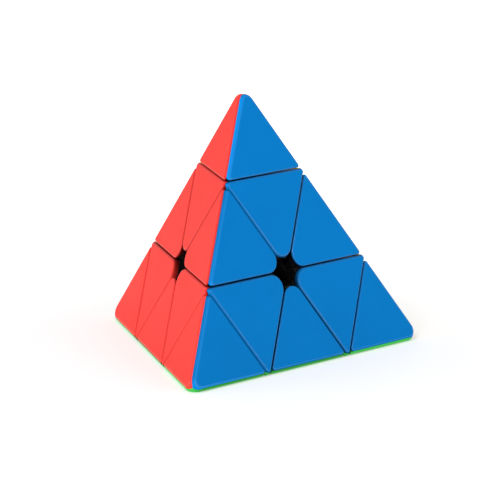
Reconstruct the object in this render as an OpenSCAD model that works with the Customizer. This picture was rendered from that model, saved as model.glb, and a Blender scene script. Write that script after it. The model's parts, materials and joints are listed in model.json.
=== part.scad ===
// Four-faced pyramid twisty puzzle: four layers turn about the four axes of a regular tetrahedron.
// The origin is the centre of the core, where the four turning axes meet, and +Z runs up through
// the top corner. A corner's axis points from the origin to that corner, and the face opposite
// that corner is square to the same axis on the far side of the origin.

/* [Body] */
// Edge length, measured to the sharp corners that the rounded body would have
edge_length = 102; // [94:1:112]
// Thickness of the coloured shells
shell_t = 1.8; // [1.4:0.1:2.2]
// Width of the gap between neighbouring pieces
gap = 0.4; // [0.3:0.05:0.6]
// Radius of the rounding along the ridges and on the corners
round_r = 1.5; // [1.2:0.1:2.4]
// Radius of the round well in the middle of each face, where six shells meet
well_r = 4; // [3:0.25:5]

/* [Mechanism] */
// Radius of the ball at the middle of the core
ball_r = 9; // [8:0.25:9.5]
// Radius of the four arms of the core
arm_r = 3; // [2.8:0.1:3.2]
// Half-angle of the cone under each turning layer, in degrees
cone_angle = 80; // [77:1:82]
// Radius of the sphere inside which the edges' feet run
foot_r = 16.5; // [15.5:0.25:17.5]
// Running clearance of pieces that slide on each other inside
clearance = 0.2; // [0.15:0.05:0.3]

/* [Fasteners] */
// Radius of the thread of the tension screws
screw_r = 1.2; // [1:0.1:1.4]
// Radius of the wire of the tension springs
wire_r = 0.3; // [0.2:0.05:0.35]

/* [Fineness] */
// Number of sides that a full circle is drawn with
sides = 72; // [48:12:120]

/* [Hidden] */
$fn = sides;

// The four corners. The face opposite a corner carries the same number.
TOP = 0;
LEFT = 1;
RIGHT = 2;
BACK = 3;
CORNERS = [TOP, LEFT, RIGHT, BACK];

// Face numbers by colour: green lies opposite the top corner, and so on round.
GREEN = TOP;
YELLOW = LEFT;
RED = RIGHT;
BLUE = BACK;
FACE_COLOURS = ["#50D050", "#FFD21F", "#FF5A52", "#0B7BC8"];
MOULDED_BLACK = "#161616";
MACHINED_STEEL = "#B9BCC0";

// Unit directions of the four corners from the centre of a regular tetrahedron.
corner_sink = -1 / 3;
corner_reach = sqrt(8) / 3;
AXES = concat(
  [[0, 0, 1]],
  [for (turn = [210, 330, 90]) [corner_reach * cos(turn), corner_reach * sin(turn), corner_sink]]
);

// Distances along an axis from the centre.
face_d = edge_length / (2 * sqrt(6));
corner_d = 3 * face_d;
ridge_d = edge_length / (2 * sqrt(2));
layer_cut = face_d / 3;
tip_cut = 5 * layer_cut;
rounded_corner_d = corner_d - 2 * round_r;
rounded_ridge_d = ridge_d - (sqrt(3) - 1) * round_r;
block = 3 * edge_length;

// How far the black pieces stand back behind the sides of the coloured shells.
carrier_setback = 0.35;
// Walls and depth of the hollows moulded into the black pieces under the shells.
pocket_wall = 1.6;
pocket_depth = 6;
// Where the wells start, below the outside of the sphere that the feet run in.
well_start = foot_r - well_r;

// Fits of the pieces that turn on each other and of the pegs that are pushed in.
bearing_fit = 0.08;
push_fit = 0.05;

// Distances along an axis of what is stacked on each arm of the core.
arm_root = 5;
arm_top = 17.4;
hub_floor = arm_top + clearance;
hub_floor_t = 1.8;
spring_seat = hub_floor + hub_floor_t;
spring_lift = 0.05;
spring_length = 4.6;
washer_seat = spring_seat + spring_length;
washer_t = 0.4;
head_seat = washer_seat + washer_t;
head_t = 2;
screw_start = 6;
screw_tip_room = 0.4;
screw_point = 0.6;

// Radii of the same parts.
screw_point_r = screw_r - screw_point;
head_r = 2.7;
head_side = 1.2;
head_top_r = 1.7;
washer_r = 3;
spring_r = 2.2;
hub_bore_r = 3.3;
hub_wall = 1.9;
hub_r = hub_bore_r + hub_wall;
recess_w = 0.7;
recess_span = 3.2;
recess_depth = 1.1;

// Fineness of a tension spring.
spring_turns = 5;
spring_steps = 14;
wire_sides = 6;

// The plug that snaps a tip into its corner piece. Its bead runs in a groove of the bore.
plug_r = hub_bore_r - bearing_fit;
plug_length = 5.8;
plug_chamfer = 0.4;
plug_start = tip_cut - plug_length;
plug_end = tip_cut + gap + carrier_setback;
bead_start = plug_start + 2 * plug_chamfer;
bead_length = 1.8;
bead_height = 0.45;
slot_w = 0.8;

// Pegs that hold the coloured shells on the black pieces.
peg_r = 1.5;
peg_length = 2.4;
boss_wall = 1.4;
boss_r = peg_r + boss_wall;

// Half-angle of the round stalk that reaches between the feet to the core.
stalk_angle = 180 - acos(1 / 3) - cone_angle;
stalk_shift = clearance / 2 / sin(stalk_angle);
cone_shift = clearance / 2 / sin(cone_angle);

// ---- Directions and regions ----

// The other corners, or the faces that meet in corner i, which carry the same numbers.
function others(i) = [for (j = CORNERS) if (j != i) j];

// The two faces on either side of the ridge between corners i and j.
function ridge_faces(i, j) = [for (k = CORNERS) if (k != i && k != j) k];

// Half-spaces that bound a tip, a corner piece and an edge piece, each as a direction and a
// distance. The trim moves every cut inwards.
function tip_cuts(i, trim) = [[-AXES[i], -(tip_cut + gap / 2 + trim)]];

function corner_cuts(i, trim) = concat(
  [[AXES[i], tip_cut - gap / 2 - trim], [-AXES[i], -(layer_cut + gap / 2 + trim)]],
  [for (j = others(i)) [AXES[j], layer_cut - gap / 2 - trim]]
);

function edge_cuts(i, j, trim) = [
  [-AXES[i], -(layer_cut + gap / 2 + trim)],
  [-AXES[j], -(layer_cut + gap / 2 + trim)]
];

// Half-spaces of a piece's faces, moved inwards by the inset.
function face_cuts(faces, inset) = [for (k = faces) [-AXES[k], face_d - inset]];

// Half-spaces that part face k of a piece from its other faces, along the ridges between.
function mitres(k, faces, back) = [for (m = faces) if (m != k) [AXES[k] - AXES[m], -back]];

// Half-spaces that take the sharp ridges off the body around face k.
function ridge_flats(k, faces) = [for (m = faces) if (m != k) [-(AXES[k] + AXES[m]), rounded_ridge_d]];

// Shares of the four corners in the centre of a tile, for a tip, a corner and an edge piece.
function tip_weights(i, k) = [for (j = CORNERS) j == i ? 7 / 9 : j == k ? 0 : 1 / 9];
function corner_weights(i, k) = [for (j = CORNERS) j == i ? 5 / 9 : j == k ? 0 : 2 / 9];
function edge_weights(i, j, k) = [for (m = CORNERS) m == i || m == j ? 4 / 9 : m == k ? 0 : 1 / 9];

// Turns +Z to the direction n, about the origin.
module along(n) {
  rotate([0, acos(n.z / norm(n)), atan2(n.y, n.x)])
    children();
}

// Everything on the near side of the plane that is square to n at the distance d.
module below(n, d) {
  along(n)
    translate([-block / 2, -block / 2, d - block])
      cube(block);
}

// What lies inside every plane of a list.
module cut_solid(cuts) {
  intersection_for (c = cuts)
    below(c[0], c[1]);
}

// The cone about an axis that a turning layer fills inside the foot sphere.
module layer_cone(i, shift) {
  along(AXES[i])
    translate([0, 0, shift])
      cylinder(h = 2 * foot_r, r1 = 0, r2 = 2 * foot_r * tan(cone_angle));
}

// ---- Pegs, shells and hollows ----

// A round peg that points inwards from a tile on face k.
module peg(k, weights, r, length) {
  translate(corner_d * (weights * AXES) + shell_t / 2 * AXES[k])
    along(AXES[k])
      cylinder(r = r, h = length + shell_t / 2);
}

// The round well in the middle of face k, made wider by the wall.
module face_well(k, wall) {
  along(-AXES[k])
    translate([0, 0, well_start])
      cylinder(h = block, r = well_r + wall);
}

// One coloured shell: a plate on face k, mitred along the ridges, with its peg behind.
module shell(k, cuts, faces, weights) {
  color(FACE_COLOURS[k])
    union() {
      difference() {
        intersection() {
          cut_solid(concat(
            cuts,
            [[-AXES[k], face_d], [AXES[k], shell_t - face_d]],
            mitres(k, faces, 0),
            ridge_flats(k, faces)
          ));
          sphere(rounded_corner_d);
        }
        face_well(k, 0);
      }
      peg(k, weights, peg_r, peg_length);
    }
}

// The hollow under one shell, with a boss left standing round the peg's socket.
module hollow(k, cuts, faces, weights) {
  difference() {
    cut_solid(concat(
      cuts,
      [[-AXES[k], face_d], [AXES[k], shell_t + pocket_depth - face_d]],
      mitres(k, faces, pocket_wall / 2)
    ));
    peg(k, weights, boss_r, pocket_depth + shell_t);
    face_well(k, carrier_setback + pocket_wall);
  }
}

// The holes of a black piece: hollows under its shells, clear of the hub, and the sockets.
module shell_seats(k, cuts, faces, weights) {
  hollow(k, cuts, faces, weights);
  peg(k, weights, peg_r + push_fit, peg_length + push_fit);
}

// ---- Core, screws, springs and washers ----

module core() {
  color(MOULDED_BLACK)
    difference() {
      union() {
        sphere(ball_r);
        for (i = CORNERS)
          along(AXES[i])
            translate([0, 0, arm_root])
              cylinder(h = arm_top - arm_root, r = arm_r);
      }
      for (i = CORNERS)
        along(AXES[i])
          translate([0, 0, screw_start - screw_tip_room])
            cylinder(h = block, r = screw_r + push_fit);
    }
}

// A pan-head screw with a cross recess, standing on its axis.
module tension_screw() {
  difference() {
    rotate_extrude()
      polygon([
        [0, screw_start], [screw_point_r, screw_start], [screw_r, screw_start + screw_point],
        [screw_r, head_seat], [head_r, head_seat], [head_r, head_seat + head_side],
        [head_top_r, head_seat + head_t], [0, head_seat + head_t]
      ]);
    for (turn = [0, 90])
      rotate(turn)
        translate([-recess_span / 2, -recess_w / 2, head_seat + head_t - recess_depth])
          cube([recess_span, recess_w, head_t]);
  }
}

module tension_screws() {
  color(MACHINED_STEEL)
    for (i = CORNERS)
      along(AXES[i])
        tension_screw();
}

module tension_washers() {
  color(MACHINED_STEEL)
    for (i = CORNERS)
      along(AXES[i])
        translate([0, 0, washer_seat])
          difference() {
            cylinder(h = washer_t, r = washer_r);
            translate([0, 0, -washer_t])
              cylinder(h = 3 * washer_t, r = screw_r + bearing_fit);
          }
}

// A coil spring about +Z. Its ring of wire points climbs at an even pitch.
module coil_spring() {
  rings = spring_turns * spring_steps;
  low = spring_seat + spring_lift + wire_r;
  climb = (spring_length - 2 * spring_lift - 2 * wire_r) / rings;
  points = [
    for (s = [0:rings]) for (w = [0:wire_sides - 1])
      let (around = 360 * s / spring_steps, tilt = 360 * w / wire_sides, r = spring_r + wire_r * cos(tilt))
        [r * cos(around), r * sin(around), low + climb * s + wire_r * sin(tilt)]
  ];
  walls = [
    for (s = [0:rings - 1]) for (w = [0:wire_sides - 1])
      let (a = s * wire_sides, b = a + wire_sides, v = (w + 1) % wire_sides)
        [a + w, b + w, b + v, a + v]
  ];
  ends = [
    [for (w = [0:wire_sides - 1]) w],
    [for (w = [wire_sides - 1:-1:0]) rings * wire_sides + w]
  ];
  polyhedron(points, concat(walls, ends));
}

module tension_springs() {
  color(MACHINED_STEEL)
    for (i = CORNERS)
      along(AXES[i])
        coil_spring();
}

// ---- Black carriers ----

// The snap plug under a tip, split into four fingers by a cross of slots.
module tip_plug() {
  difference() {
    rotate_extrude()
      polygon([
        [0, plug_start], [plug_r - plug_chamfer, plug_start], [plug_r, plug_start + plug_chamfer],
        [plug_r, bead_start], [plug_r + bead_height, bead_start + bead_length / 2],
        [plug_r, bead_start + bead_length], [plug_r, plug_end], [0, plug_end]
      ]);
    for (turn = [0, 90])
      rotate(turn)
        translate([-hub_r, -slot_w / 2, plug_start - slot_w])
          cube([2 * hub_r, slot_w, plug_length]);
  }
}

module tip_carrier(i) {
  faces = others(i);
  color(MOULDED_BLACK) {
    difference() {
      cut_solid(concat(tip_cuts(i, carrier_setback), face_cuts(faces, shell_t)));
      for (k = faces)
        shell_seats(k, tip_cuts(i, carrier_setback + pocket_wall), faces, tip_weights(i, k));
    }
    along(AXES[i])
      tip_plug();
  }
}

// The bore of a corner piece: round the arm, through the floor for the screw, and above it
// the well that holds the spring and takes the tip's plug.
module hub_bore() {
  bead_groove = clearance / 2;
  rotate_extrude()
    polygon([
      [0, 0], [arm_r + bearing_fit, 0], [arm_r + bearing_fit, hub_floor],
      [screw_r + bearing_fit, hub_floor], [screw_r + bearing_fit, spring_seat],
      [hub_bore_r, spring_seat], [hub_bore_r, bead_start - bead_groove],
      [plug_r + bead_height + bead_groove, bead_start + bead_length / 2 - bead_groove],
      [plug_r + bead_height + bead_groove, bead_start + bead_length / 2 + bead_groove],
      [hub_bore_r, bead_start + bead_length + bead_groove], [hub_bore_r, corner_d], [0, corner_d]
    ]);
}

module corner_carrier(i) {
  faces = others(i);
  color(MOULDED_BLACK)
    difference() {
      union() {
        difference() {
          cut_solid(concat(corner_cuts(i, carrier_setback), face_cuts(faces, shell_t)));
          sphere(foot_r + clearance / 2);
          difference() {
            for (k = faces)
              hollow(k, corner_cuts(i, carrier_setback + pocket_wall), faces, corner_weights(i, k));
            along(AXES[i])
              cylinder(h = block, r = hub_r);
          }
          for (k = faces) {
            peg(k, corner_weights(i, k), peg_r + push_fit, peg_length + push_fit);
            face_well(k, carrier_setback);
          }
        }
        along(AXES[i])
          translate([0, 0, stalk_shift])
            cylinder(h = foot_r, r1 = 0, r2 = foot_r * tan(stalk_angle));
      }
      sphere(ball_r + clearance);
      along(AXES[i])
        hub_bore();
    }
}

// The black part of an edge piece: its body under the two shells, and the foot that runs
// between the core and the corner pieces.
module edge_foot(i, j) {
  faces = ridge_faces(i, j);
  color(MOULDED_BLACK) {
    difference() {
      cut_solid(concat(edge_cuts(i, j, carrier_setback), face_cuts(faces, shell_t)));
      for (k = faces) {
        shell_seats(k, edge_cuts(i, j, carrier_setback + pocket_wall), faces, edge_weights(i, j, k));
        face_well(k, carrier_setback);
      }
    }
    difference() {
      intersection() {
        sphere(foot_r - clearance / 2);
        layer_cone(i, cone_shift);
        layer_cone(j, cone_shift);
      }
      for (k = faces)
        layer_cone(k, -cone_shift);
      sphere(ball_r + clearance);
    }
  }
}

// ---- Coloured shells of each kind of piece ----

module tip_shell(i, k) {
  shell(k, tip_cuts(i, 0), others(i), tip_weights(i, k));
}

module corner_shell(i, k) {
  shell(k, corner_cuts(i, 0), others(i), corner_weights(i, k));
}

module edge_shell(i, j, k) {
  shell(k, edge_cuts(i, j, 0), ridge_faces(i, j), edge_weights(i, j, k));
}

core();
tension_screws();
tension_springs();
tension_washers();
tip_carrier(TOP);  // top_tip_carrier
tip_carrier(LEFT);  // left_tip_carrier
tip_carrier(RIGHT);  // right_tip_carrier
tip_carrier(BACK);  // back_tip_carrier
tip_shell(TOP, BLUE);  // top_tip_blue_shell
tip_shell(TOP, RED);  // top_tip_red_shell
tip_shell(TOP, YELLOW);  // top_tip_yellow_shell
tip_shell(LEFT, BLUE);  // left_tip_blue_shell
tip_shell(LEFT, RED);  // left_tip_red_shell
tip_shell(LEFT, GREEN);  // left_tip_green_shell
tip_shell(RIGHT, BLUE);  // right_tip_blue_shell
tip_shell(RIGHT, YELLOW);  // right_tip_yellow_shell
tip_shell(RIGHT, GREEN);  // right_tip_green_shell
tip_shell(BACK, RED);  // back_tip_red_shell
tip_shell(BACK, YELLOW);  // back_tip_yellow_shell
tip_shell(BACK, GREEN);  // back_tip_green_shell
corner_carrier(TOP);  // top_corner_carrier
corner_carrier(LEFT);  // left_corner_carrier
corner_carrier(RIGHT);  // right_corner_carrier
corner_carrier(BACK);  // back_corner_carrier
corner_shell(TOP, BLUE);  // top_corner_blue_shell
corner_shell(TOP, RED);  // top_corner_red_shell
corner_shell(TOP, YELLOW);  // top_corner_yellow_shell
corner_shell(LEFT, BLUE);  // left_corner_blue_shell
corner_shell(LEFT, RED);  // left_corner_red_shell
corner_shell(LEFT, GREEN);  // left_corner_green_shell
corner_shell(RIGHT, BLUE);  // right_corner_blue_shell
corner_shell(RIGHT, YELLOW);  // right_corner_yellow_shell
corner_shell(RIGHT, GREEN);  // right_corner_green_shell
corner_shell(BACK, RED);  // back_corner_red_shell
corner_shell(BACK, YELLOW);  // back_corner_yellow_shell
corner_shell(BACK, GREEN);  // back_corner_green_shell
edge_foot(TOP, LEFT);  // top_left_edge_foot
edge_foot(TOP, RIGHT);  // top_right_edge_foot
edge_foot(TOP, BACK);  // top_back_edge_foot
edge_foot(LEFT, RIGHT);  // left_right_edge_foot
edge_foot(RIGHT, BACK);  // right_back_edge_foot
edge_foot(BACK, LEFT);  // back_left_edge_foot
edge_shell(TOP, LEFT, BLUE);  // top_left_edge_blue_shell
edge_shell(TOP, LEFT, RED);  // top_left_edge_red_shell
edge_shell(TOP, RIGHT, BLUE);  // top_right_edge_blue_shell
edge_shell(TOP, RIGHT, YELLOW);  // top_right_edge_yellow_shell
edge_shell(TOP, BACK, RED);  // top_back_edge_red_shell
edge_shell(TOP, BACK, YELLOW);  // top_back_edge_yellow_shell
edge_shell(LEFT, RIGHT, BLUE);  // left_right_edge_blue_shell
edge_shell(LEFT, RIGHT, GREEN);  // left_right_edge_green_shell
edge_shell(RIGHT, BACK, YELLOW);  // right_back_edge_yellow_shell
edge_shell(RIGHT, BACK, GREEN);  // right_back_edge_green_shell
edge_shell(BACK, LEFT, RED);  // back_left_edge_red_shell
edge_shell(BACK, LEFT, GREEN);  // back_left_edge_green_shell
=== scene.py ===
import json
import math
from collections import namedtuple

import bpy
from mathutils import Color, Matrix, Vector


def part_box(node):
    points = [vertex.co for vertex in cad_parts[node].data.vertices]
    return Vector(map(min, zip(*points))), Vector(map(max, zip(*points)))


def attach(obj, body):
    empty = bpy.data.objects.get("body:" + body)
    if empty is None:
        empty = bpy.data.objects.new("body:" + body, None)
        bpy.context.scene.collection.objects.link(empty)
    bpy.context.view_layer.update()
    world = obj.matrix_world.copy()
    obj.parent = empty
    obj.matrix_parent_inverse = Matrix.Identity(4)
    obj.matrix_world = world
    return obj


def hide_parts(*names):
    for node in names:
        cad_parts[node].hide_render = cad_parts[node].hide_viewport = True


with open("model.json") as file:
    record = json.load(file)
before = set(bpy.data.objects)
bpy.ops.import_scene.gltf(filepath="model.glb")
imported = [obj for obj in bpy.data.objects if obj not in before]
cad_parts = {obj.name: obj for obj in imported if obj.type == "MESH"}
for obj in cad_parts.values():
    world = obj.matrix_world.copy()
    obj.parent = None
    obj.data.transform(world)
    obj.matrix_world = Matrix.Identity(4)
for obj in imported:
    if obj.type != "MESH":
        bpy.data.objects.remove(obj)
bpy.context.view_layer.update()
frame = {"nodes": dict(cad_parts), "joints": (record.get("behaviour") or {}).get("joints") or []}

bl_info = {
    "name": "Pyramid Puzzle Finish",
    "version": (1, 0, 0),
    "blender": (4, 5, 0),
    "location": "3D View > Sidebar > Puzzle",
    "description": "Finishes the coloured shells, black pieces and fasteners of a pyramid twisty puzzle",
    "category": "Object",
}

MM = 0.001
CORNERS = ("top", "left", "right", "back")
# Each face carries the number of the corner that it lies opposite.
FACES = {"green": "top", "yellow": "left", "red": "right", "blue": "back"}
EDGES = (
    ("top", "left"),
    ("top", "right"),
    ("top", "back"),
    ("left", "right"),
    ("right", "back"),
    ("back", "left"),
)

TURNS = {joint["name"]: joint for joint in frame["joints"]}
AXIS = {corner: Vector(TURNS[f"{corner}_layer_turn"]["axis"]) for corner in CORNERS}

# Where two faces meet, the one whose corner comes first here reaches past the middle of the ridge.
SEAM_ORDER = ("top", "back", "right", "left")

# Distances along an axis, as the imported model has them.
FACE_D = -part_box("left_tip_green_shell")[0].z
CORNER_D = 3 * FACE_D
LAYER_CUT = FACE_D / 3
TIP_CUT = 5 * LAYER_CUT
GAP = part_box("top_tip_blue_shell")[0].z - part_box("top_corner_blue_shell")[1].z

# Inside angles where a face meets the wall of a gap or another face.
ACUTE_WALL = math.acos(1 / 3)
OBTUSE_WALL = math.pi - ACUTE_WALL

# Tangent of half the turn from one face to the next over a ridge.
HALF_TURN_TAN = math.sqrt(2)


# ---- Properties ----


class ShellSizes(bpy.types.PropertyGroup):
    """Sizes of the coloured shells."""

    thickness: bpy.props.FloatProperty(
        name="Thickness", description="Thickness of a shell", default=1.78 * MM, unit="LENGTH"
    )
    edge_setback: bpy.props.FloatProperty(
        name="Edge Setback",
        description="How far the rounding along a gap reaches onto the face",
        default=0.62 * MM,
        unit="LENGTH",
    )
    foot_undercut: bpy.props.FloatProperty(
        name="Foot Undercut",
        description="How far a wall's foot stands back from the plane of its cut",
        default=0.4 * MM,
        unit="LENGTH",
    )
    ridge_radius: bpy.props.FloatProperty(
        name="Ridge Radius", description="Rounding where two faces meet", default=1.5 * MM, unit="LENGTH"
    )
    seam_shift: bpy.props.FloatProperty(
        name="Seam Shift",
        description="How far the seam on a ridge stands from the middle of its rounding",
        default=math.radians(10),
        subtype="ANGLE",
    )
    green_seam_shift: bpy.props.FloatProperty(
        name="Green Seam Shift",
        description="The same on the ridges of the green face",
        default=math.radians(26),
        subtype="ANGLE",
    )
    centre_radius: bpy.props.FloatProperty(
        name="Centre Corner Radius",
        description="Rounding of the six corners round the middle of a face",
        default=4 * MM,
        unit="LENGTH",
    )
    ridge_corner_radius: bpy.props.FloatProperty(
        name="Ridge Corner Radius",
        description="Rounding of a tip's or edge's corners where a gap meets a ridge",
        default=0.4 * MM,
        unit="LENGTH",
    )
    short_ridge_radius: bpy.props.FloatProperty(
        name="Short Ridge Corner Radius",
        description="Rounding of a corner piece's corners where it just reaches a ridge",
        default=0.3 * MM,
        unit="LENGTH",
    )
    apex_ease: bpy.props.FloatProperty(
        name="Apex Ease",
        description="Rounding of the flat's outer corners",
        default=1.6 * MM,
        unit="LENGTH",
    )
    peg_radius: bpy.props.FloatProperty(
        name="Peg Radius", description="Radius of the peg behind a shell", default=1.5 * MM, unit="LENGTH"
    )
    peg_length: bpy.props.FloatProperty(
        name="Peg Length", description="Length of the peg behind a shell", default=2.4 * MM, unit="LENGTH"
    )


class PlasticColours(bpy.types.PropertyGroup):
    """Colours of the moulded plastics, as display values."""

    blue: bpy.props.FloatVectorProperty(
        name="Blue", description="Blue shells", default=(0.0, 0.443, 0.72), subtype="COLOR_GAMMA"
    )
    red: bpy.props.FloatVectorProperty(
        name="Red", description="Red shells", default=(0.875, 0.205, 0.175), subtype="COLOR_GAMMA"
    )
    yellow: bpy.props.FloatVectorProperty(
        name="Yellow", description="Yellow shells", default=(0.98, 0.8, 0.1), subtype="COLOR_GAMMA"
    )
    green: bpy.props.FloatVectorProperty(
        name="Green", description="Green shells", default=(0.22, 0.66, 0.26), subtype="COLOR_GAMMA"
    )
    black: bpy.props.FloatVectorProperty(
        name="Black", description="Black inner pieces", default=(0.045, 0.043, 0.043), subtype="COLOR_GAMMA"
    )


class FastenerSizes(bpy.types.PropertyGroup):
    """Sizes of the springs and of the thread on the screws."""

    spring_radius: bpy.props.FloatProperty(
        name="Spring Radius", description="Radius to the middle of the wire", default=2.2 * MM, unit="LENGTH"
    )
    wire_radius: bpy.props.FloatProperty(
        name="Wire Radius", description="Radius of the spring wire", default=0.3 * MM, unit="LENGTH"
    )
    spring_turns: bpy.props.FloatProperty(
        name="Spring Turns", description="Turns in one spring", default=5.0
    )
    spring_length: bpy.props.FloatProperty(
        name="Spring Length", description="Length of a spring as fitted", default=4.5 * MM, unit="LENGTH"
    )
    thread_radius: bpy.props.FloatProperty(
        name="Thread Radius", description="Radius of the screws' shank", default=1.2 * MM, unit="LENGTH"
    )
    thread_crest: bpy.props.FloatProperty(
        name="Thread Crest", description="Height of the thread", default=0.05 * MM, unit="LENGTH"
    )
    thread_pitch: bpy.props.FloatProperty(
        name="Thread Pitch", description="Climb of the thread in one turn", default=0.5 * MM, unit="LENGTH"
    )
    thread_length: bpy.props.FloatProperty(
        name="Thread Length", description="Length of the threaded shank", default=16 * MM, unit="LENGTH"
    )


class StageSettings(bpy.types.PropertyGroup):
    """The camera."""

    azimuth: bpy.props.FloatProperty(
        name="Azimuth",
        description="Bearing of the camera round the puzzle",
        default=math.radians(-45.32),
        subtype="ANGLE",
    )
    elevation: bpy.props.FloatProperty(
        name="Elevation",
        description="Height of the camera above the level",
        default=math.radians(12.52),
        subtype="ANGLE",
    )
    roll: bpy.props.FloatProperty(
        name="Roll",
        description="Tilt of the camera about its line of sight",
        default=math.radians(0.457),
        subtype="ANGLE",
    )
    distance: bpy.props.FloatProperty(
        name="Distance", description="Camera to the middle of the puzzle", default=1.08, unit="LENGTH"
    )
    lens: bpy.props.FloatProperty(
        name="Lens", description="Focal length in millimetres on a 36 mm frame", default=256.7
    )
    slide_right: bpy.props.FloatProperty(
        name="Slide Right", description="Camera moved to its own right", default=2.6 * MM, unit="LENGTH"
    )
    slide_up: bpy.props.FloatProperty(
        name="Slide Up", description="Camera moved to its own top", default=9.86 * MM, unit="LENGTH"
    )


# ---- Node trees written as expressions ----


class Wire:
    """One output socket. Arithmetic on wires adds Math or Vector Math nodes to their plan."""

    def __init__(self, plan, socket):
        self.plan = plan
        self.socket = socket

    def _join(self, operation, first, second):
        if not (is_vector(first) or is_vector(second)):
            return self.plan.math(operation, first, second)
        if operation == "MULTIPLY" and not (is_vector(first) and is_vector(second)):
            vector, number = (first, second) if is_vector(first) else (second, first)
            return self.plan.vector("SCALE", vector, Scale=number)
        return self.plan.vector(operation, first, second)

    def __add__(self, other):
        return self._join("ADD", self, other)

    def __radd__(self, other):
        return self._join("ADD", other, self)

    def __sub__(self, other):
        return self._join("SUBTRACT", self, other)

    def __rsub__(self, other):
        return self._join("SUBTRACT", other, self)

    def __mul__(self, other):
        return self._join("MULTIPLY", self, other)

    def __rmul__(self, other):
        return self._join("MULTIPLY", other, self)

    def __truediv__(self, other):
        return self._join("DIVIDE", self, other)

    def __rtruediv__(self, other):
        return self._join("DIVIDE", other, self)

    def __neg__(self):
        return self * -1


def is_vector(value):
    """Whether a value is a wire that carries a vector or a colour."""
    return isinstance(value, Wire) and value.socket.type in {"VECTOR", "RGBA"}


class Plan:
    """A node tree under construction."""

    def __init__(self, tree):
        self.tree = tree

    def add(self, kind, settings=None, values=None, out=0):
        """Adds a node, with its settings first and then what its sockets hold or are linked to."""
        node = self.tree.nodes.new(kind)
        for name, setting in (settings or {}).items():
            setattr(node, name, setting)
        self.fill(node, values or {})
        return Wire(self, node.outputs[out])

    def fill(self, node, values):
        """Links a node's sockets to wires, or sets plain values on them."""
        for name, value in values.items():
            socket = node.inputs[name]
            if isinstance(value, Wire):
                self.tree.links.new(value.socket, socket)
            else:
                socket.default_value = value

    def math(self, operation, *values):
        return self.add("ShaderNodeMath", {"operation": operation}, dict(enumerate(values)))

    def vector(self, operation, *values, **named):
        out = "Value" if operation in {"DOT_PRODUCT", "LENGTH"} else "Vector"
        values = {**dict(enumerate(values)), **named}
        return self.add("ShaderNodeVectorMath", {"operation": operation}, values, out)

    def blend(self, share, first, second):
        """First where the share is 0 and second where it is 1."""
        return first + share * (second - first)


def geometry_plan(name, inputs):
    """A geometry tree with named inputs, and a dictionary of wires from them."""
    tree = bpy.data.node_groups.new(name, "GeometryNodeTree")
    tree.interface.new_socket(name="Geometry", in_out="INPUT", socket_type="NodeSocketGeometry")
    for label, kind in inputs.items():
        tree.interface.new_socket(name=label, in_out="INPUT", socket_type=f"NodeSocket{kind}")
    tree.interface.new_socket(name="Geometry", in_out="OUTPUT", socket_type="NodeSocketGeometry")
    plan = Plan(tree)
    entry = tree.nodes.new("NodeGroupInput")
    wires = {label: Wire(plan, entry.outputs[label]) for label in ["Geometry", *inputs]}
    return plan, wires


def end_tree(plan, geometry, finish):
    """Closes a geometry tree with real meshes that carry their material."""
    real = plan.add("GeometryNodeRealizeInstances", values={"Geometry": geometry})
    done = plan.add("GeometryNodeSetMaterial", values={"Geometry": real, "Material": finish})
    plan.fill(plan.tree.nodes.new("NodeGroupOutput"), {"Geometry": done})


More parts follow.
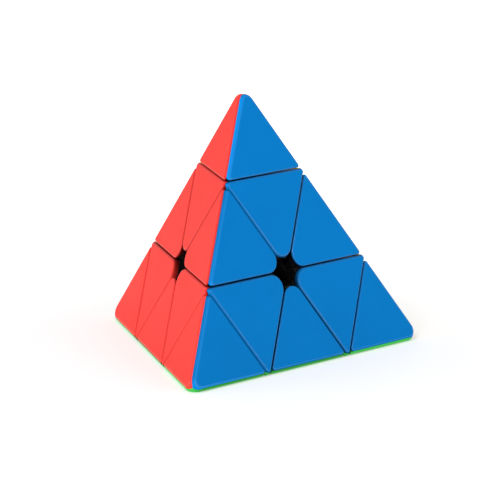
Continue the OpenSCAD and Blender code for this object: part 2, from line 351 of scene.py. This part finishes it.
def shell_tree():
    """Rounds a flat outline into a shell. The outline's points hold corner_radius, and ridge_side
    is 1 where the side that starts at the point lies along a ridge, where the rounding starts.
    For such a side seam_shift is how far its seam stands past the middle of the rounding.
    Rows of points run round the outline: the middle of the face, its flat rim, the rounding, the
    wall's foot and the middle behind."""
    plan, wire = geometry_plan(
        "Rounded Shell",
        {
            "Face Normal": "Vector",
            "Wall Angle": "Float",
            "Thickness": "Float",
            "Edge Setback": "Float",
            "Ridge Radius": "Float",
            "Flat Rim": "Float",
            "Smallest Corner": "Float",
            "Nose Growth": "Float",
            "Foot Undercut": "Float",
            "Corner Steps": "Int",
            "Rounding Steps": "Int",
            "Peg Place": "Vector",
            "Peg Radius": "Float",
            "Peg Length": "Float",
            "Finish": "Material",
        },
    )
    outline, normal, thickness = wire["Geometry"], wire["Face Normal"], wire["Thickness"]
    ridge_r, undercut = wire["Ridge Radius"], wire["Foot Undercut"]
    corner_steps, rounding_steps = wire["Corner Steps"], wire["Rounding Steps"]
    count = plan.add("GeometryNodeAttributeDomainSize", values={"Geometry": outline}, out="Point Count")
    per_corner = corner_steps + 1
    around = count * per_corner
    rim_row, rounding_row = 1, 2
    foot_row = rounding_steps + 3
    last_row = rounding_steps + 4
    grid = plan.add("GeometryNodeMeshGrid", values={"Vertices X": last_row + 1, "Vertices Y": around + 1})

    index = plan.add("GeometryNodeInputIndex")
    row = plan.math("FLOOR", (index + 0.5) / (around + 1))
    place = plan.math("MODULO", index - row * (around + 1), around)
    corner = plan.math("FLOOR", (place + 0.5) / per_corner)
    share = (place - corner * per_corner) / corner_steps

    def sampled(value, at, kind="FLOAT_VECTOR"):
        settings = {"data_type": kind, "domain": "POINT"}
        values = {"Geometry": outline, "Value": value, "Index": plan.math("MODULO", at + count, count)}
        return plan.add("GeometryNodeSampleIndex", settings, values)

    def named(name):
        return plan.add("GeometryNodeInputNamedAttribute", {"data_type": "FLOAT"}, {"Name": name})

    position = plan.add("GeometryNodeInputPosition")
    point = sampled(position, corner)
    before, after = sampled(position, corner - 1), sampled(position, corner + 1)
    ridge_before = sampled(named("ridge_side"), corner - 1, "FLOAT")
    ridge_after = sampled(named("ridge_side"), corner, "FLOAT")
    shift_before = sampled(named("seam_shift"), corner - 1, "FLOAT")
    shift_after = sampled(named("seam_shift"), corner, "FLOAT")
    radius = sampled(named("corner_radius"), corner, "FLOAT")

    def outward(start, end):
        return plan.vector("NORMALIZE", plan.vector("CROSS_PRODUCT", end - start, normal))

    side_before, side_after = outward(before, point), outward(point, after)
    lean = plan.vector("DOT_PRODUCT", side_before, side_after)
    turn = plan.math("ARCCOSINE", lean)

    # Rounding along a gap: how far in from the sharp line and how deep below the face.
    stage = plan.math("MINIMUM", plan.math("MAXIMUM", (row - rounding_row) / rounding_steps, 0.0), 1.0)
    gap_turn = math.pi - wire["Wall Angle"]
    gap_r = wire["Edge Setback"] / plan.math("TANGENT", gap_turn / 2)
    gap_angle = gap_turn * stage
    gap_in = wire["Edge Setback"] - gap_r * plan.math("SINE", gap_angle)
    gap_deep = gap_r * (1 - plan.math("COSINE", gap_angle))

    # Rounding along a ridge, up to the seam. At an outer corner the seams of three shells meet.
    outermost = ridge_before * ridge_after
    nearest = plan.math("MINIMUM", share, 1 - share)
    aside = plan.math("COSINE", turn * nearest * outermost)
    spread = plan.math("SQRT", aside * aside + HALF_TURN_TAN**2)
    seam = plan.math("ARCTAN2", HALF_TURN_TAN, aside)
    seam = seam + plan.math("ARCSINE", radius * (1 - aside) / (ridge_r * spread))
    nearer_shift = plan.blend(plan.math("GREATER_THAN", share, 0.5), shift_before, shift_after)
    shift = plan.blend(outermost, shift_before + shift_after, nearer_shift * (1 - nearest * 2))
    ridge_angle = (seam + shift) * stage
    ridge_in = -(ridge_r * plan.math("SINE", ridge_angle))
    ridge_deep = ridge_r * (1 - plan.math("COSINE", ridge_angle))

    # The wall's foot, and the flat rim just inside the rounding.
    foot = plan.math("GREATER_THAN", row, foot_row - 0.5)
    gap_in = plan.blend(foot, gap_in, undercut + thickness / plan.math("TANGENT", wire["Wall Angle"]))
    ridge_in = plan.blend(foot, ridge_in, HALF_TURN_TAN * (thickness - ridge_r))
    gap_deep = plan.blend(foot, gap_deep, thickness)
    ridge_deep = plan.blend(foot, ridge_deep, thickness)
    rim = wire["Flat Rim"] * plan.math("LESS_THAN", row, rim_row + 0.5)
    in_before = plan.blend(ridge_before, gap_in, ridge_in) + rim
    in_after = plan.blend(ridge_after, gap_in, ridge_in) + rim
    deep_before = plan.blend(ridge_before, gap_deep, ridge_deep)
    deep_after = plan.blend(ridge_after, gap_deep, ridge_deep)

    # The corner's arc, whose centre lies inside both of its sides. It follows the two roundings,
    # or where a gap meets a ridge, it grows rounder towards the seam.
    unlike = plan.math("ABSOLUTE", ridge_before - ridge_after)
    ridge_share = (ridge_before * in_before + ridge_after * in_after) * wire["Nose Growth"]
    shrink = plan.blend(unlike, (in_before + in_after) / 2, ridge_share)
    arc = plan.math("MAXIMUM", radius + undercut * foot - shrink, wire["Smallest Corner"])
    off_before, off_after = in_before + arc, in_after + arc
    square = 1 - lean * lean
    along_before = (off_after * lean - off_before) / square
    along_after = (off_before * lean - off_after) / square
    swing_before = plan.math("SINE", (1 - share) * turn) / plan.math("SINE", turn)
    swing_after = plan.math("SINE", share * turn) / plan.math("SINE", turn)
    depth = plan.blend(share, deep_before, deep_after)
    spot = (
        point
        + side_before * (along_before + arc * swing_before)
        + side_after * (along_after + arc * swing_after)
        - normal * depth
    )

    # The first and last rows close the shell at its middle.
    settings = {"data_type": "FLOAT_VECTOR", "domain": "POINT"}
    middle = plan.add(
        "GeometryNodeAttributeStatistic", settings, {"Geometry": outline, "Attribute": position}, "Mean"
    )
    closing = plan.math("GREATER_THAN", row, last_row - 0.5)
    closed = plan.math("MAXIMUM", closing, plan.math("LESS_THAN", row, 0.5))
    spot = spot + (middle - normal * (thickness * closing) - spot) * closed
    skin = plan.add("GeometryNodeSetPosition", values={"Geometry": grid, "Position": spot})
    skin = plan.add("GeometryNodeMergeByDistance", values={"Geometry": skin, "Distance": 1e-4 * MM})

    # Marks for the finish: where a rounding starts, for the coat's shine; where it is a ridge's, for a
    # painted highlight; and how deep it is in a gap, for painted shade.
    highlight_full, brow_end = 1 / 3, 1 / 2
    ridge_here = plan.blend(share, ridge_before, ridge_after)
    # The band where a rounding starts: it takes the coat's shine and, along a ridge, a painted highlight.
    highlight_band = plan.math("MINIMUM", stage / highlight_full, 1.0) * (1 - foot)
    brow = plan.math("MAXIMUM", highlight_band * (1 - stage / brow_end), 0.0)
    marks = {"edge_polish": brow, "ridge_light": highlight_band * ridge_here, "gap_shade": stage * (1 - ridge_here)}
    for name, value in marks.items():
        skin = plan.add(
            "GeometryNodeStoreNamedAttribute",
            {"data_type": "FLOAT", "domain": "POINT"},
            {"Geometry": skin, "Name": name, "Value": value},
        )

    peg = plan.add(
        "GeometryNodeMeshCylinder",
        values={"Vertices": PEG_SIDES, "Radius": wire["Peg Radius"], "Depth": wire["Peg Length"]},
    )
    facing = plan.add("FunctionNodeAlignRotationToVector", {"axis": "Z"}, {"Vector": normal})
    peg = plan.add(
        "GeometryNodeTransform",
        values={"Geometry": peg, "Translation": wire["Peg Place"], "Rotation": facing},
    )
    join = plan.tree.nodes.new("GeometryNodeJoinGeometry")
    for part in (peg, skin):
        plan.tree.links.new(part.socket, join.inputs[0])
    end_tree(plan, Wire(plan, join.outputs[0]), wire["Finish"])
    return plan.tree


def grown(base, tree, values, name):
    """Runs a geometry tree on a base mesh and returns the result as a plain object."""
    scene = bpy.context.scene
    source = bpy.data.objects.new(f"{name}_base", base)
    scene.collection.objects.link(source)
    modifier = source.modifiers.new("Grow", "NODES")
    modifier.node_group = tree
    for item in tree.interface.items_tree:
        if item.in_out == "INPUT" and item.name in values:
            modifier[item.identifier] = values[item.name]
    ready = source.evaluated_get(bpy.context.evaluated_depsgraph_get())
    mesh = bpy.data.meshes.new_from_object(ready)
    bpy.data.objects.remove(source)
    bpy.data.meshes.remove(base)
    mesh.name = name
    piece = bpy.data.objects.new(name, mesh)
    scene.collection.objects.link(piece)
    return piece


def smooth(piece, sharp_angle):
    """Shades a mesh smooth, with creases where its faces meet at more than the angle."""
    piece.data.shade_smooth()
    piece.data.set_sharp_from_angle(angle=sharp_angle)


# ---- Materials ----

# Patches and grains in the finishes: their size, and how many finer layers break them up.
PIGMENT_CLOUD = (18 * MM, 4.0)
PIGMENT_SPECK = (0.7 * MM, 2.0)
WEAR_AND_HIGHLIGHT_PATCH = (9 * MM, 5.0)
MOULD_GRIT = (0.22 * MM, 2.0)
MOULD_RIPPLE = (6 * MM, 2.0)
DULL_PATCH = (1.2 * MM, 4.0)
DRAWING_LINE = (0.15 * MM, 1.0)
NOISE_ROUGHNESS = 0.55

# How rough a plastic is, how much it mirrors, and how coarse its grain is.
SHELL_FINISH = {"roughness": 0.42, "gloss": 0.04, "grain": 1.0}
INNER_FINISH = {"roughness": 0.34, "gloss": 0.25, "grain": 1.4}

# Pigment: how dark and pale its clouds are, and how pale, how rare and how faint its flecks are.
CLOUD_DARK = 0.965
CLOUD_PALE = 1.03
FLECK_LIFT = 0.12
FLECK_LEVEL = 0.74
FLECK_SHARE = 0.05

# How much lighter the painted highlight on a ridge's rounding makes the plastic, and how much of
# it shows in every place and how much more in the patches that also vary the roughness.
RIDGE_HIGHLIGHT_GAIN = 1.28
RIDGE_HIGHLIGHT_SHARE = 0.75
RIDGE_HIGHLIGHT_PATCH_SHARE = 0.4
# Then how dark the painted shade deep in a gap makes the plastic.
GAP_SHADE_GAIN = 0.16

# How far handling changes the roughness from patch to patch, and how high the mould's ripple is
# against its grit.
WEAR_RANGE = 0.1
RIPPLE_HEIGHT = 2.0
PLASTIC_BUMP = {"Strength": 0.35, "Distance": 0.02 * MM}

# The shine at the brow of an edge, where its rounding starts.
BROW_COAT = 1.6
BROW_COAT_ROUGHNESS = 0.2

ZINC = (0.70, 0.72, 0.74)
BRIGHT_ZINC = (0.82, 0.82, 0.80)
STEEL_ROUGHNESS = 0.24
STEEL_DULLING = 0.18
STEEL_BUMP = {"Strength": 0.3, "Distance": 0.01 * MM}

# A Mix node's sockets for colours. Its sockets for numbers have the same names.
MIX_SHARE, MIX_FIRST, MIX_SECOND = 0, 6, 7
MIX_RESULT = 2


def linear(colour):
    """A display colour as linear light, opaque."""
    return (*Color(colour).from_srgb_to_scene_linear(), 1.0)


def gained(colour, gain):
    """A display colour as linear light, made lighter or darker."""
    return (*[min(light * gain, 1.0) for light in linear(colour)[:3]], 1.0)


def shader_plan(name):
    """A new material's plan, its main shader node and a wire of its Object coordinates."""
    material = bpy.data.materials.new(name)
    material.use_nodes = True
    plan = Plan(material.node_tree)
    shader = material.node_tree.nodes["Principled BSDF"]
    place = plan.add("ShaderNodeTexCoord", out="Object")
    return material, plan, shader, place


def noise(plan, place, size, detail):
    """Noise whose patches are about the given size across, in metres."""
    values = {"Vector": place, "Scale": 1 / size, "Detail": detail, "Roughness": NOISE_ROUGHNESS}
    return plan.add("ShaderNodeTexNoise", {"noise_dimensions": "3D"}, values, "Fac")


def mixed(plan, share, first, second):
    """A colour between two colours."""
    values = {MIX_SHARE: share, MIX_FIRST: first, MIX_SECOND: second}
    return plan.add("ShaderNodeMix", {"data_type": "RGBA"}, values, MIX_RESULT)


def mark(plan, name):
    """A wire of one of the marks that the shell tree leaves on a shell's points."""
    return plan.add("ShaderNodeAttribute", {"attribute_name": name}, out="Fac")


def moulded_plastic(name, colour, roughness, gloss, grain):
    """Satin moulded plastic: a fine spark-eroded grain, faint clouds and flecks in the pigment, and
    patches where handling has polished the grain a little. On a shell the ridges carry a painted
    highlight, the lips of the gaps carry painted shade that grows darker inwards, and the start of
    each rounding shines."""
    material, plan, shader, place = shader_plan(name)
    cloud = noise(plan, place, *PIGMENT_CLOUD)
    speck = noise(plan, place, *PIGMENT_SPECK)
    wear_and_highlight_patch = noise(plan, place, *WEAR_AND_HIGHLIGHT_PATCH)
    dark = [level * CLOUD_DARK for level in colour]
    pale = [min(level * CLOUD_PALE, 1.0) for level in colour]
    flecked = [min(level + FLECK_LIFT, 1.0) for level in colour]
    pigment = mixed(plan, cloud, linear(dark), linear(pale))
    fleck = plan.math("GREATER_THAN", speck, FLECK_LEVEL) * FLECK_SHARE
    pigment = mixed(plan, fleck, pigment, linear(flecked))
    # Painted highlight: the ridges' roundings are lightened, more in some patches.
    highlight_band = mark(plan, "ridge_light") * (RIDGE_HIGHLIGHT_SHARE + wear_and_highlight_patch * RIDGE_HIGHLIGHT_PATCH_SHARE)
    pigment = mixed(plan, highlight_band, pigment, gained(colour, RIDGE_HIGHLIGHT_GAIN))
    # Painted shade: the lips of the gaps darken towards their depth.
    pigment = mixed(plan, mark(plan, "gap_shade"), pigment, gained(colour, GAP_SHADE_GAIN))
    grit = noise(plan, place, *MOULD_GRIT)
    ripple = noise(plan, place, *MOULD_RIPPLE)
    height = (grit + ripple * RIPPLE_HEIGHT) * grain
    values = {
        "Base Color": pigment,
        "Roughness": roughness + (wear_and_highlight_patch - 0.5) * WEAR_RANGE,
        "Normal": plan.add("ShaderNodeBump", values={**PLASTIC_BUMP, "Height": height}),
        "Coat Weight": mark(plan, "edge_polish") * BROW_COAT,
        "Coat Roughness": BROW_COAT_ROUGHNESS,
        "Specular IOR Level": gloss,
    }
    plan.fill(shader, values)
    return material


def turned_steel(name):
    """Zinc-plated steel with fine drawing lines and dull patches."""
    material, plan, shader, place = shader_plan(name)
    dull = noise(plan, place, *DULL_PATCH)
    lines = noise(plan, place, *DRAWING_LINE)
    values = {
        "Base Color": mixed(plan, dull, linear(ZINC), linear(BRIGHT_ZINC)),
        "Metallic": 1.0,
        "Roughness": STEEL_ROUGHNESS + dull * STEEL_DULLING,
        "Normal": plan.add("ShaderNodeBump", values={**STEEL_BUMP, "Height": lines}),
    }
    plan.fill(shader, values)
    return material


# ---- Shells ----

# The flat rim inside a rounding, the least radius of a corner, and how much rounder a corner grows
# towards a ridge's seam.
FLAT_RIM = 0.15 * MM
SMALLEST_CORNER = 0.1 * MM
NOSE_GROWTH = 0.35
CORNER_STEPS = 14
ROUNDING_STEPS = 10

# How deep a peg starts inside its shell.
PEG_OVERLAP = 0.1 * MM
PEG_SIDES = 32

# Faces that meet at more than this are creased.
SHELL_CREASE = math.radians(40)
SPRING_CREASE = math.radians(50)

# A face has nine like tiles. The middle of each lies at these shares of the way to the face's
# corners: to the body's own and to the others.
TILE_SHARES = {"tip": (7 / 9, 1 / 9), "corner": (5 / 9, 2 / 9), "edge": (4 / 9, 1 / 9)}

# A side of a tile's outline: whether it is a ridge, the plane it lies in, and its seam's shift.
Side = namedtuple("Side", ("ridge", "plane", "seam_shift"))


def others(*named):
    return [corner for corner in CORNERS if corner not in named]


def onward(items):
    """The same items, each one place earlier, and the first one last."""
    return items[1:] + items[:1]


def meeting_point(*planes):
    """The point that three planes share, each a direction and a distance."""
    rows = Matrix([tuple(direction) for direction, _ in planes])
    return rows.inverted() @ Vector([distance for _, distance in planes])


def gap_side(corner, distance):
    return Side(False, (AXIS[corner], distance), 0.0)


def ridge_side(face, corner, sizes):
    """The line on a face where the rounding towards the corner's own face starts."""
    first = SEAM_ORDER.index(face) < SEAM_ORDER.index(corner)
    start = FACE_D - sizes.ridge_radius * HALF_TURN_TAN * math.sin(ACUTE_WALL)
    shift = sizes.green_seam_shift if FACES["green"] in (face, corner) else sizes.seam_shift
    return Side(True, (-AXIS[corner], start), shift if first else -shift)


def tip_outline(corner, face, sizes):
    first, second = others(corner, face)
    return [
        ridge_side(face, second, sizes),
        gap_side(corner, TIP_CUT + GAP / 2),
        ridge_side(face, first, sizes),
    ]


def corner_outline(corner, face, sizes):
    first, second = others(corner, face)
    inner = LAYER_CUT - GAP / 2
    return [
        gap_side(corner, TIP_CUT - GAP / 2),
        ridge_side(face, second, sizes),
        gap_side(first, inner),
        gap_side(second, inner),
        ridge_side(face, first, sizes),
    ]


def edge_outline(corner, partner, face, sizes):
    (third,) = others(corner, partner, face)
    outer = LAYER_CUT + GAP / 2
    return [ridge_side(face, third, sizes), gap_side(corner, outer), gap_side(partner, outer)]


def outline_corners(plane, sides):
    """The points where each side of an outline meets the one after it."""
    return [meeting_point(plane, side.plane, after.plane) for side, after in zip(sides, onward(sides))]


def outline_mesh(name, normal, sides, sizes):
    """The sharp outline of a tile, anticlockwise as seen from outside, with what its corners and
    sides are."""
    plane = (normal, FACE_D)
    points = outline_corners(plane, sides)
    if (points[1] - points[0]).cross(points[2] - points[1]).dot(normal) < 0:
        sides = sides[::-1]
        points = outline_corners(plane, sides)
    nose_radius = sizes.ridge_corner_radius if len(sides) == 3 else sizes.short_ridge_radius
    radii = {
        (True, True): sizes.apex_ease,
        (True, False): nose_radius,
        (False, True): nose_radius,
        (False, False): sizes.centre_radius,
    }
    mesh = bpy.data.meshes.new(name)
    indices = list(range(len(points)))
    mesh.from_pydata(points, list(zip(indices, onward(indices))), [])
    values = {
        "corner_radius": [radii[side.ridge, after.ridge] for side, after in zip(sides, onward(sides))],
        "ridge_side": [float(side.ridge) for side in onward(sides)],
        "seam_shift": [side.seam_shift for side in onward(sides)],
    }
    for label, numbers in values.items():
        mesh.attributes.new(label, "FLOAT", "POINT").data.foreach_set("value", numbers)
    return mesh


def tile_middle(body, colour):
    """The centre of a body's sharp tile on the outer plane, where its peg stands."""
    *own_corners, kind = body.split("_")
    own, other = TILE_SHARES[kind]
    shares = {corner: own if corner in own_corners else other for corner in others(FACES[colour])}
    return sum((CORNER_D * share * AXIS[corner] for corner, share in shares.items()), Vector())


def make_shell(tree, body, colour, sides, wall_angle, sizes, material):
    """Makes one coloured shell of a body in place of its plain CAD node."""
    node = f"{body}_{colour}_shell"
    normal = -AXIS[FACES[colour]]
    peg_depth = sizes.thickness + sizes.peg_length / 2
    values = {
        "Face Normal": normal,
        "Wall Angle": wall_angle,
        "Thickness": sizes.thickness,
        "Edge Setback": sizes.edge_setback,
        "Ridge Radius": sizes.ridge_radius,
        "Flat Rim": FLAT_RIM,
        "Smallest Corner": SMALLEST_CORNER,
        "Nose Growth": NOSE_GROWTH,
        "Foot Undercut": sizes.foot_undercut,
        "Corner Steps": CORNER_STEPS,
        "Rounding Steps": ROUNDING_STEPS,
        "Peg Place": tile_middle(body, colour) - normal * (peg_depth - PEG_OVERLAP / 2),
        "Peg Radius": sizes.peg_radius,
        "Peg Length": sizes.peg_length + PEG_OVERLAP,
        "Finish": material,
    }
    outline = outline_mesh(f"{node}_outline", normal, sides, sizes)
    piece = grown(outline, tree, values, f"finished_{node}")
    smooth(piece, SHELL_CREASE)
    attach(piece, body)
    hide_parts(node)


class PUZZLE_OT_coloured_shells(bpy.types.Operator):
    """Make the coloured shells of the tips, corner pieces and edge pieces"""

    bl_idname = "puzzle.coloured_shells"
    bl_label = "Coloured Shells"

    def execute(self, context):
        sizes = context.scene.puzzle_shells
        colours = context.scene.puzzle_colours
        tree = shell_tree()
        plastics = {
            colour: moulded_plastic(f"{colour}_moulding", getattr(colours, colour), **SHELL_FINISH)
            for colour in FACES
        }
        for colour, face in FACES.items():
            tiles = []
            for corner in others(face):
                tiles.append((f"{corner}_tip", tip_outline(corner, face, sizes), ACUTE_WALL))
                tiles.append((f"{corner}_corner", corner_outline(corner, face, sizes), OBTUSE_WALL))
            for corner, partner in EDGES:
                if face not in (corner, partner):
                    outline = edge_outline(corner, partner, face, sizes)
                    tiles.append((f"{corner}_{partner}_edge", outline, ACUTE_WALL))
            for body, sides, wall_angle in tiles:
                make_shell(tree, body, colour, sides, wall_angle, sizes, plastics[colour])
        return {"FINISHED"}


class PUZZLE_OT_black_pieces(bpy.types.Operator):
    """Give the core, carriers and feet their black moulded finish"""

    bl_idname = "puzzle.black_pieces"
    bl_label = "Black Pieces"

    def execute(self, context):
        colour = context.scene.puzzle_colours.black
        black = moulded_plastic("black_moulding", colour, **INNER_FINISH)
        for name, node in frame["nodes"].items():
            if name == "core" or name.endswith(("_carrier", "_foot")):
                for slot in node.material_slots:
                    slot.material = black
        return {"FINISHED"}


HELIX_STEPS = 40
SPRING_WIRE_SIDES = 12
THREAD_SIDES = 4


def axis_points(name):
    """Four points at the middle of the core, each with the direction of its arm."""
    mesh = bpy.data.meshes.new(name)
    mesh.from_pydata([(0, 0, 0)] * len(CORNERS), [], [])
    axes = mesh.attributes.new("arm", "FLOAT_VECTOR", "POINT")
    for value, corner in zip(axes.data, CORNERS):
        value.vector = AXIS[corner]
    return mesh


def helix_tree(name):
    """A helix of round or angular wire along every arm of the core."""
    plan, wire = geometry_plan(
        name,
        {
            "Radius": "Float",
            "Start": "Float",
            "Length": "Float",
            "Turns": "Float",
            "Wire Radius": "Float",
            "Wire Sides": "Int",
            "Finish": "Material",
        },
    )
    radius = wire["Radius"]
    values = {
        "Resolution": HELIX_STEPS,
        "Rotations": wire["Turns"],
        "Start Radius": radius,
        "End Radius": radius,
        "Height": wire["Length"],
    }
    helix = plan.add("GeometryNodeCurveSpiral", values=values)
    values = {"Resolution": wire["Wire Sides"], "Radius": wire["Wire Radius"]}
    ring = plan.add("GeometryNodeCurvePrimitiveCircle", values=values)
    values = {"Curve": helix, "Profile Curve": ring, "Fill Caps": True}
    coil = plan.add("GeometryNodeCurveToMesh", values=values)
    rise = plan.add("ShaderNodeCombineXYZ", values={"Z": wire["Start"]})
    coil = plan.add("GeometryNodeTransform", values={"Geometry": coil, "Translation": rise})
    arm = plan.add("GeometryNodeInputNamedAttribute", {"data_type": "FLOAT_VECTOR"}, {"Name": "arm"})
    turned = plan.add("FunctionNodeAlignRotationToVector", {"axis": "Z"}, {"Vector": arm})
    values = {"Points": wire["Geometry"], "Instance": coil, "Rotation": turned}
    end_tree(plan, plan.add("GeometryNodeInstanceOnPoints", values=values), wire["Finish"])
    return plan.tree


class PUZZLE_OT_fasteners(bpy.types.Operator):
    """Wind the springs, cut the screws' threads and give the fasteners their plated finish"""

    bl_idname = "puzzle.fasteners"
    bl_label = "Screws, Springs and Washers"

    def execute(self, context):
        sizes = context.scene.puzzle_fasteners
        steel = turned_steel("plated_steel")
        for name in ("tension_screws", "tension_washers"):
            for slot in frame["nodes"][name].material_slots:
                slot.material = steel
        tree = helix_tree("Helix On Every Arm")
        spring_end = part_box("tension_springs")[1].z
        length = sizes.spring_length - 2 * sizes.wire_radius
        values = {
            "Radius": sizes.spring_radius,
            "Start": spring_end - sizes.wire_radius - length,
            "Length": length,
            "Turns": sizes.spring_turns,
            "Wire Radius": sizes.wire_radius,
            "Wire Sides": SPRING_WIRE_SIDES,
            "Finish": steel,
        }
        springs = grown(axis_points("spring_axes"), tree, values, "wound_springs")
        smooth(springs, SPRING_CREASE)
        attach(springs, "core_unit")
        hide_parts("tension_springs")
        values = {
            "Radius": sizes.thread_radius,
            "Start": spring_end - sizes.thread_length,
            "Length": sizes.thread_length,
            "Turns": sizes.thread_length / sizes.thread_pitch,
            "Wire Radius": sizes.thread_crest,
            "Wire Sides": THREAD_SIDES,
            "Finish": steel,
        }
        threads = grown(axis_points("thread_axes"), tree, values, "screw_threads")
        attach(threads, "core_unit")
        return {"FINISHED"}


# ---- Stage ----

# Where each softbox stands, how wide and high it is, and its power.
SOFTBOXES = {
    "key_softbox": ((-1.7, -0.7, 1.68), (1.1, 1.1), 31),
    "fill_softbox": ((-0.12, -1.15, 0.45), (0.5, 0.5), 2.0),
    "low_front_card": ((0.12, -0.42, 0.02), (0.3, 0.08), 0.2),
    "low_left_card": ((-0.42, 0.16, 0.02), (0.3, 0.08), 0.8),
}
ROOM_LIGHT = 0.5

# The floor glows, and its glow also lights the puzzle from below. The glow is dimmer near the puzzle, a
# painted shade round its foot, so that its shadow shows.
FLOOR_HALF = 4.0
SHADOW_REACH = 0.07
GLOW_RISE = 0.2
NEAR_GLOW = (0.29, 0.29, 0.29, 1)
FAR_GLOW = (0.8, 0.8, 0.8, 1)
FLOOR_PATCH = 0.3
FLOOR_TONES = ((0.82, 0.825, 0.83, 1), (0.84, 0.84, 0.84, 1))
FLOOR_ROUGHNESS = 0.6
FLOOR_GLOSS = 0.2

# The camera's frame in millimetres, and the nearest and farthest that it sees, in metres.
FRAME_WIDTH = 36
NEAREST = 0.01
FARTHEST = 50


def camera_axes(settings):
    """The camera's right, up and backward directions."""
    azimuth, elevation = settings.azimuth, settings.elevation
    back = Vector(
        (
            math.sin(azimuth) * math.cos(elevation),
            -math.cos(azimuth) * math.cos(elevation),
            math.sin(elevation),
        )
    )
    right = Vector((math.cos(azimuth), math.sin(azimuth), 0))
    up = back.cross(right)
    turned = Matrix.Rotation(settings.roll, 3, back)
    return turned @ right, turned @ up, back


def add_camera(settings):
    right, up, back = camera_axes(settings)
    camera = bpy.data.objects.new("camera", bpy.data.cameras.new("camera"))
    bpy.context.scene.collection.objects.link(camera)
    place = back * settings.distance + right * settings.slide_right + up * settings.slide_up
    turn = Matrix((right, up, back)).transposed().to_4x4()
    camera.matrix_world = Matrix.Translation(place) @ turn
    camera.data.lens = settings.lens
    camera.data.sensor_width = FRAME_WIDTH
    camera.data.clip_start = NEAREST
    camera.data.clip_end = FARTHEST
    bpy.context.scene.camera = camera


def add_softbox(name, place, size, power):
    """A large soft light that faces the puzzle."""
    data = bpy.data.lights.new(name, "AREA")
    data.shape = "RECTANGLE"
    data.size, data.size_y = size
    data.energy = power
    lamp = bpy.data.objects.new(name, data)
    bpy.context.scene.collection.objects.link(lamp)
    place = Vector(place)
    lamp.matrix_world = Matrix.Translation(place) @ place.to_track_quat("Z", "Y").to_matrix().to_4x4()


def add_floor():
    """A wide pale floor that the puzzle stands on, glowing less near the puzzle."""
    mesh = bpy.data.meshes.new("floor")
    signs = ((-1, -1), (1, -1), (1, 1), (-1, 1))
    corners = [(x * FLOOR_HALF, y * FLOOR_HALF, -FACE_D) for x, y in signs]
    mesh.from_pydata(corners, [], [range(len(corners))])
    floor = bpy.data.objects.new("floor", mesh)
    bpy.context.scene.collection.objects.link(floor)
    material, plan, shader, place = shader_plan("pale_floor")
    tone = mixed(plan, noise(plan, place, FLOOR_PATCH, 2.0), *FLOOR_TONES)
    far = (plan.vector("LENGTH", place) - SHADOW_REACH) / GLOW_RISE
    far = plan.math("MINIMUM", plan.math("MAXIMUM", far, 0.0), 1.0)
    values = {
        "Base Color": tone,
        "Roughness": FLOOR_ROUGHNESS,
        "Specular IOR Level": FLOOR_GLOSS,
        # The floor's glow: dimmer near the puzzle, as painted shade.
        "Emission Color": mixed(plan, far, NEAR_GLOW, FAR_GLOW),
        "Emission Strength": 1.0,
    }
    plan.fill(shader, values)
    mesh.materials.append(material)


class PUZZLE_OT_stage(bpy.types.Operator):
    """Set up the floor, the soft light and the camera"""

    bl_idname = "puzzle.stage"
    bl_label = "Stage"

    def execute(self, context):
        add_camera(context.scene.puzzle_stage)
        add_floor()
        for name, (place, size, power) in SOFTBOXES.items():
            add_softbox(name, place, size, power)
        world = bpy.data.worlds.new("dim_room")
        context.scene.world = world
        world.use_nodes = True
        background = world.node_tree.nodes["Background"]
        background.inputs["Color"].default_value = (1, 1, 1, 1)
        background.inputs["Strength"].default_value = ROOM_LIGHT
        context.scene.view_settings.view_transform = "Standard"
        return {"FINISHED"}


# ---- Panel, registration and the run ----


class PUZZLE_PT_finish(bpy.types.Panel):
    """Lists the steps that finish the puzzle"""

    bl_idname = "PUZZLE_PT_finish"
    bl_label = "Pyramid Puzzle"
    bl_space_type = "VIEW_3D"
    bl_region_type = "UI"
    bl_category = "Puzzle"

    def draw(self, context):
        for operator in OPERATORS:
            self.layout.operator(operator.bl_idname)


GROUPS = {
    "puzzle_shells": ShellSizes,
    "puzzle_colours": PlasticColours,
    "puzzle_fasteners": FastenerSizes,
    "puzzle_stage": StageSettings,
}
OPERATORS = (PUZZLE_OT_stage, PUZZLE_OT_coloured_shells, PUZZLE_OT_black_pieces, PUZZLE_OT_fasteners)


def register():
    for group in GROUPS.values():
        bpy.utils.register_class(group)
    for name, group in GROUPS.items():
        setattr(bpy.types.Scene, name, bpy.props.PointerProperty(type=group))
    for operator in OPERATORS:
        bpy.utils.register_class(operator)
    bpy.utils.register_class(PUZZLE_PT_finish)


def unregister():
    bpy.utils.unregister_class(PUZZLE_PT_finish)
    for operator in reversed(OPERATORS):
        bpy.utils.unregister_class(operator)
    for name in GROUPS:
        delattr(bpy.types.Scene, name)
    for group in reversed(GROUPS.values()):
        bpy.utils.unregister_class(group)


def main():
    register()
    bpy.ops.puzzle.stage()
    bpy.ops.puzzle.coloured_shells()
    bpy.ops.puzzle.black_pieces()
    bpy.ops.puzzle.fasteners()


if __name__ == "__main__":
    main()
